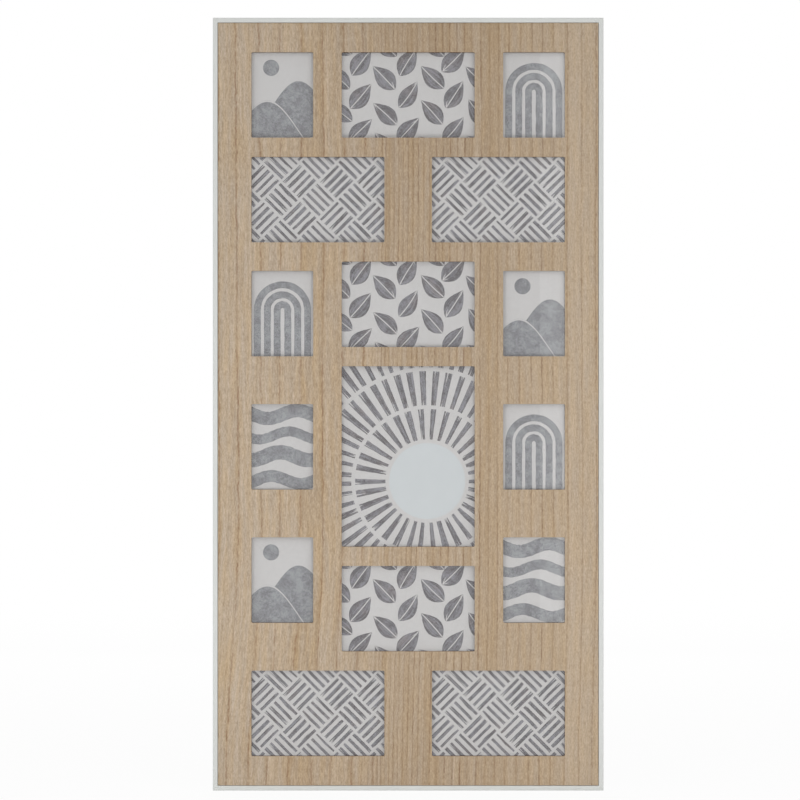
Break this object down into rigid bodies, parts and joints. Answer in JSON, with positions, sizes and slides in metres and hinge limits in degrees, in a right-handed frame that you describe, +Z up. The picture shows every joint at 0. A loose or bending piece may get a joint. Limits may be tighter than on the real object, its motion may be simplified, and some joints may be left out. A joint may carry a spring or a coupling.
{
  "type": "collage photo frame",
  "caption": "Tall rectangular collage picture frame: white moulding, wood-veneered panel with rows of windows over glass and prints, turn buttons and ring hangers behind.",
  "frame": {"origin": "middle of the underside of the bottom rail, half-way through the frame's depth, which is the bottom centre of the box round the part", "axes": "+X to the right as seen from the front, +Y from the front towards the wall, +Z up; the pictures face -Y"},
  "size_m": [0.411, 0.02, 0.813],
  "materials": {
    "white_lacquer": "satin white lacquer on fibreboard",
    "veneer": "matt light greyish-brown wood veneer, upright grain",
    "fibreboard": "raw medium-density fibreboard",
    "glass": "clear float glass",
    "print_paper": "matt off-white paper with grey ink",
    "filler_card": "corrugated brown board",
    "hardboard": "smooth brown hardboard",
    "zinc_steel": "bright zinc-plated steel",
    "nail_steel": "plain steel"
  },
  "bodies": {
    "frame": {"pane_row1_left": "glass", "print_row1_left": "print_paper", "pane_row1_centre": "glass", "print_row1_centre": "print_paper", "pane_row1_right": "glass", "print_row1_right": "print_paper", "pane_row2_left": "glass", "print_row2_left": "print_paper", "pane_row2_right": "glass", "print_row2_right": "print_paper", "pane_row3_left": "glass", "print_row3_left": "print_paper", "pane_row3_centre": "glass", "print_row3_centre": "print_paper", "pane_row3_right": "glass", "print_row3_right": "print_paper", "pane_row4_left": "glass", "print_row4_left": "print_paper", "pane_row4_centre": "glass", "print_row4_centre": "print_paper", "pane_row4_right": "glass", "print_row4_right": "print_paper", "pane_row5_left": "glass", "print_row5_left": "print_paper", "pane_row5_centre": "glass", "print_row5_centre": "print_paper", "pane_row5_right": "glass", "print_row5_right": "print_paper", "pane_row6_left": "glass", "print_row6_left": "print_paper", "pane_row6_right": "glass", "print_row6_right": "print_paper", "rail_top": "white_lacquer", "rail_bottom": "white_lacquer", "rail_left": "white_lacquer", "rail_right": "white_lacquer", "corner_nails": "nail_steel", "panel_veneer": "veneer", "panel_core": "fibreboard", "filler_sheet": "filler_card", "backboard": "hardboard", "turn_button_screws": "zinc_steel", "hanger_strap_left": "zinc_steel", "hanger_strap_right": "zinc_steel", "hanger_screws": "zinc_steel"},
    "turn_button_left_1": {"turn_button_left_1": "zinc_steel"},
    "turn_button_right_1": {"turn_button_right_1": "zinc_steel"},
    "turn_button_left_2": {"turn_button_left_2": "zinc_steel"},
    "turn_button_right_2": {"turn_button_right_2": "zinc_steel"},
    "turn_button_left_3": {"turn_button_left_3": "zinc_steel"},
    "turn_button_right_3": {"turn_button_right_3": "zinc_steel"},
    "turn_button_left_4": {"turn_button_left_4": "zinc_steel"},
    "turn_button_right_4": {"turn_button_right_4": "zinc_steel"},
    "turn_button_top_1": {"turn_button_top_1": "zinc_steel"},
    "turn_button_bottom_1": {"turn_button_bottom_1": "zinc_steel"},
    "turn_button_top_2": {"turn_button_top_2": "zinc_steel"},
    "turn_button_bottom_2": {"turn_button_bottom_2": "zinc_steel"},
    "hanger_ring_left": {"hanger_ring_left": "zinc_steel"},
    "hanger_ring_right": {"hanger_ring_right": "zinc_steel"}
  },
  "joints": [
    {"name": "turn_button_bottom_1_pivot", "type": "hinge", "parent": "frame", "child": "turn_button_bottom_1", "pos_m": [-0.09453, 0.0047, 0.012], "axis": [0, 1, 0], "range_deg": [-100, 100]},
    {"name": "turn_button_bottom_2_pivot", "type": "hinge", "parent": "frame", "child": "turn_button_bottom_2", "pos_m": [0.09453, 0.0047, 0.012], "axis": [0, 1, 0], "range_deg": [-100, 100]},
    {"name": "turn_button_left_1_pivot", "type": "hinge", "parent": "frame", "child": "turn_button_left_1", "pos_m": [-0.1935, 0.0047, 0.71544], "axis": [0, 1, 0], "range_deg": [-100, 100]},
    {"name": "turn_button_left_2_pivot", "type": "hinge", "parent": "frame", "child": "turn_button_left_2", "pos_m": [-0.1935, 0.0047, 0.50406], "axis": [0, 1, 0], "range_deg": [-100, 100]},
    {"name": "turn_button_left_3_pivot", "type": "hinge", "parent": "frame", "child": "turn_button_left_3", "pos_m": [-0.1935, 0.0047, 0.30894], "axis": [0, 1, 0], "range_deg": [-100, 100]},
    {"name": "turn_button_left_4_pivot", "type": "hinge", "parent": "frame", "child": "turn_button_left_4", "pos_m": [-0.1935, 0.0047, 0.09756], "axis": [0, 1, 0], "range_deg": [-100, 100]},
    {"name": "turn_button_right_1_pivot", "type": "hinge", "parent": "frame", "child": "turn_button_right_1", "pos_m": [0.1935, 0.0047, 0.71544], "axis": [0, 1, 0], "range_deg": [-100, 100]},
    {"name": "turn_button_right_2_pivot", "type": "hinge", "parent": "frame", "child": "turn_button_right_2", "pos_m": [0.1935, 0.0047, 0.50406], "axis": [0, 1, 0], "range_deg": [-100, 100]},
    {"name": "turn_button_right_3_pivot", "type": "hinge", "parent": "frame", "child": "turn_button_right_3", "pos_m": [0.1935, 0.0047, 0.30894], "axis": [0, 1, 0], "range_deg": [-100, 100]},
    {"name": "turn_button_right_4_pivot", "type": "hinge", "parent": "frame", "child": "turn_button_right_4", "pos_m": [0.1935, 0.0047, 0.09756], "axis": [0, 1, 0], "range_deg": [-100, 100]},
    {"name": "turn_button_top_1_pivot", "type": "hinge", "parent": "frame", "child": "turn_button_top_1", "pos_m": [-0.09453, 0.0047, 0.801], "axis": [0, 1, 0], "range_deg": [-100, 100]},
    {"name": "turn_button_top_2_pivot", "type": "hinge", "parent": "frame", "child": "turn_button_top_2", "pos_m": [0.09453, 0.0047, 0.801], "axis": [0, 1, 0], "range_deg": [-100, 100]},
    {"name": "hanger_ring_left_pivot", "type": "hinge", "parent": "frame", "child": "hanger_ring_left", "pos_m": [-0.1935, 0.00578, 0.61788], "axis": [-1, 0, 0], "range_deg": [0, 177]},
    {"name": "hanger_ring_right_pivot", "type": "hinge", "parent": "frame", "child": "hanger_ring_right", "pos_m": [0.1935, 0.00578, 0.61788], "axis": [-1, 0, 0], "range_deg": [0, 177]}
  ]
}
